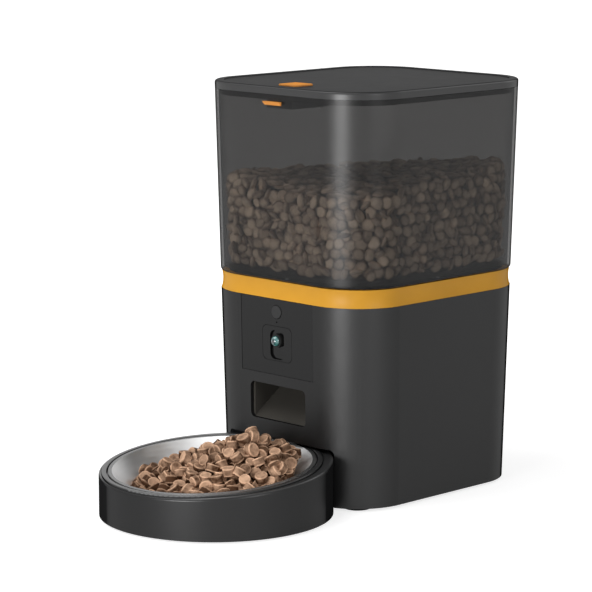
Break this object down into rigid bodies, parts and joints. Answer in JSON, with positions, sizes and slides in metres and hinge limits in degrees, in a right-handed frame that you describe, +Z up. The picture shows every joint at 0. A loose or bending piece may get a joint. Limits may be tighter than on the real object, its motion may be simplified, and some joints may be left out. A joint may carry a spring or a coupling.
{
  "type": "automatic pet feeder",
  "caption": "Automatic pet feeder: rounded base with camera window and food outlet, coloured belt, smoky lift-off hopper with hinged lid, portion rotor inside, steel bowl in a round tray.",
  "frame": {"origin": "on the floor, midway between the tray's front and the lid hinge's rear, on the middle plane", "axes": "+Z up, -Y towards the bowl at the front, +X to the right as seen from the front"},
  "size_m": [0.174, 0.3448, 0.3061],
  "materials": {
    "base_plastic": "satin",
    "lid_plastic": "satin",
    "smoke_plastic": "gloss",
    "belt_plastic": "satin",
    "accent_plastic": "satin",
    "window_plastic": "gloss",
    "button_plastic": "gloss",
    "lens_glass": "polished",
    "black_plastic": "matte",
    "rear_plastic": "satin",
    "inner_plastic": "matte",
    "rotor_plastic": "satin",
    "gear_plastic": "matte",
    "rubber": "matte",
    "board": "satin",
    "steel": "brushed",
    "motor_metal": "satin",
    "brass": "satin",
    "bowl_steel": "satin"
  },
  "bodies": {
    "base": {"base_shell": "base_plastic", "base_plate": "base_plastic", "dock_liner": "base_plastic", "feet": "rubber", "base_screws": "steel", "belt_ring": "belt_plastic", "front_panel": "window_plastic", "camera_bezel": "window_plastic", "lens_barrel": "black_plastic", "camera_lens": "lens_glass", "image_sensor": "black_plastic", "camera_board": "board", "feed_switch": "black_plastic", "front_board": "board", "outlet_chute": "black_plastic", "food_sensors": "black_plastic", "deck": "inner_plastic", "deck_screws": "steel", "gearbox_case": "inner_plastic", "shaft_bush_lower": "brass", "shaft_bush_upper": "brass", "idler_axle": "steel", "motor": "motor_metal", "motor_end_cap": "inner_plastic", "main_board": "board", "wireless_module": "steel", "board_connectors": "black_plastic", "battery_box": "black_plastic", "battery_contacts": "steel", "power_inlet": "black_plastic", "speaker": "black_plastic"},
    "hopper": {"hopper_shell": "smoke_plastic", "hinge_pin": "steel", "latch_cap": "accent_plastic", "hopper_funnel": "inner_plastic", "hopper_screws": "steel"},
    "lid": {"lid_shell": "lid_plastic", "lid_seal": "rubber", "latch_tub": "lid_plastic", "lid_screws": "steel", "desiccant_pot": "lid_plastic"},
    "lid_button": {"lid_button": "accent_plastic"},
    "latch_bolt": {"latch_bolt": "black_plastic", "latch_spring": "steel"},
    "desiccant_cap": {"desiccant_cap": "lid_plastic"},
    "rotor": {"portion_rotor": "rotor_plastic", "stirrer": "rubber"},
    "output": {"drive_shaft": "steel", "output_gear": "gear_plastic"},
    "idler": {"idler_gear": "gear_plastic"},
    "motor_rotor": {"motor_shaft": "steel", "motor_pinion": "brass"},
    "feed_button": {"feed_button": "button_plastic"},
    "battery_door": {"battery_door": "rear_plastic"},
    "tray": {"bowl_tray": "base_plastic", "tray_pads": "rubber"},
    "bowl": {"bowl": "bowl_steel"}
  },
  "joints": [
    {"name": "hopper_lift", "type": "slide", "parent": "base", "child": "hopper", "axis": [0, 0, 1], "range_m": [0, 0.075]},
    {"name": "lid_hinge", "type": "hinge", "parent": "hopper", "child": "lid", "pos_m": [0, 0.16916, 0.2996], "axis": [-1, 0, 0], "range_deg": [0, 100]},
    {"name": "lid_button_press", "type": "slide", "parent": "lid", "child": "lid_button", "axis": [0, 0, -1], "range_m": [0, 0.002], "stiffness_N_per_m": 400},
    {"name": "latch_bolt_slide", "type": "slide", "parent": "lid", "child": "latch_bolt", "axis": [0, -1, 0], "range_m": [0, 0.0024]},
    {"name": "desiccant_cap_pull", "type": "slide", "parent": "lid", "child": "desiccant_cap", "axis": [0, 0, -1], "range_m": [0, 0.03]},
    {"name": "rotor_spin", "type": "hinge", "parent": "hopper", "child": "rotor", "pos_m": [0, 0.06774, 0.1064], "axis": [0, 0, 1], "continuous": true},
    {"name": "output_spin", "type": "hinge", "parent": "base", "child": "output", "pos_m": [0, 0.06774, 0.088], "axis": [0, 0, 1], "continuous": true},
    {"name": "idler_spin", "type": "hinge", "parent": "base", "child": "idler", "pos_m": [-0.024, 0.06774, 0.0875], "axis": [0, 0, 1], "continuous": true},
    {"name": "motor_spin", "type": "hinge", "parent": "base", "child": "motor_rotor", "pos_m": [-0.0448, 0.06774, 0.0946], "axis": [0, 0, 1], "continuous": true},
    {"name": "feed_button_press", "type": "slide", "parent": "base", "child": "feed_button", "axis": [0, 0.9998, 0.0201], "range_m": [0, 0.001], "stiffness_N_per_m": 300},
    {"name": "battery_door_hinge", "type": "hinge", "parent": "base", "child": "battery_door", "pos_m": [0, 0.15896, 0.02552], "axis": [-1, 0, 0], "range_deg": [0, 100]},
    {"name": "tray_slide", "type": "slide", "parent": "base", "child": "tray", "axis": [0, -1, 0], "range_m": [0, 0.06]},
    {"name": "bowl_turn", "type": "hinge", "parent": "tray", "child": "bowl", "pos_m": [0, -0.09161, 0.0377], "axis": [0, -0.0729, 0.9973], "continuous": true}
  ],
  "couplings": [
    {"joint": "output_spin", "follows": "rotor_spin", "ratio": 1},
    {"joint": "idler_spin", "follows": "rotor_spin", "ratio": -4},
    {"joint": "motor_spin", "follows": "rotor_spin", "ratio": 13.333},
    {"joint": "latch_bolt_slide", "follows": "lid_button_press", "ratio": 1.2}
  ]
}
